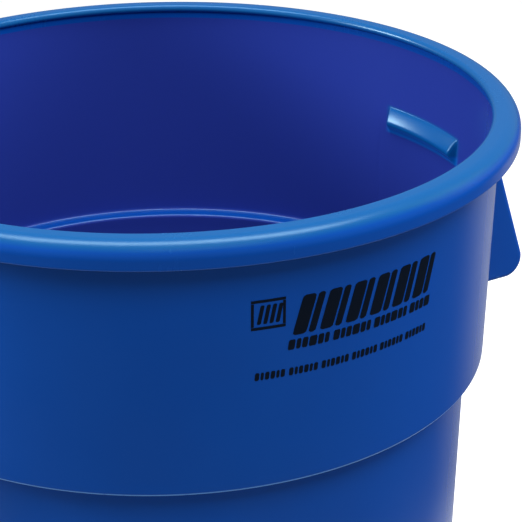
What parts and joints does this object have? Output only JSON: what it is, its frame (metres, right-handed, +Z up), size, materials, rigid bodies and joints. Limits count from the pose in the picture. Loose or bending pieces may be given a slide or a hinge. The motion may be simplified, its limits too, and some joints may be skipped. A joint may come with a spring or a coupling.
{
  "type": "open-top plastic waste can",
  "caption": "Round open-top moulded plastic can with a flat rolled rim, two open-bottomed side handles, inner finger pockets and a nesting step in its wall.",
  "frame": {"origin": "centre of the base, on the ground that the foot rings stand on", "axes": "+Z up along the can's axis, handles on +X and -X, print facing -Y"},
  "size_m": [0.7852, 0.673, 0.838],
  "materials": {
    "rim_plastic": "satin moulded polyethylene",
    "wall_plastic": "smooth moulded polyethylene",
    "handle_plastic": "smooth moulded polyethylene",
    "base_plastic": "scuffed moulded polyethylene",
    "print_ink": "hot-stamped black ink film"
  },
  "bodies": {
    "root": {"rim_flange": "rim_plastic", "rim_skirt": "rim_plastic", "rim_gussets": "wall_plastic", "upper_wall": "wall_plastic", "step_ledge": "wall_plastic", "lower_wall": "wall_plastic", "base_corner": "base_plastic", "base_floor": "base_plastic", "base_outer_foot_ring": "base_plastic", "base_inner_foot_ring": "base_plastic", "base_webs": "base_plastic", "handle_right_front_plate": "handle_plastic", "handle_right_rear_plate": "handle_plastic", "handle_right_grip_panel": "handle_plastic", "handle_right_grip_edge": "handle_plastic", "handle_right_finger_pocket": "wall_plastic", "handle_left_front_plate": "handle_plastic", "handle_left_rear_plate": "handle_plastic", "handle_left_grip_panel": "handle_plastic", "handle_left_grip_edge": "handle_plastic", "handle_left_finger_pocket": "wall_plastic", "print_emblem": "print_ink", "print_band": "print_ink", "print_upper_line": "print_ink", "print_lower_line": "print_ink"}
  },
  "joints": []
}
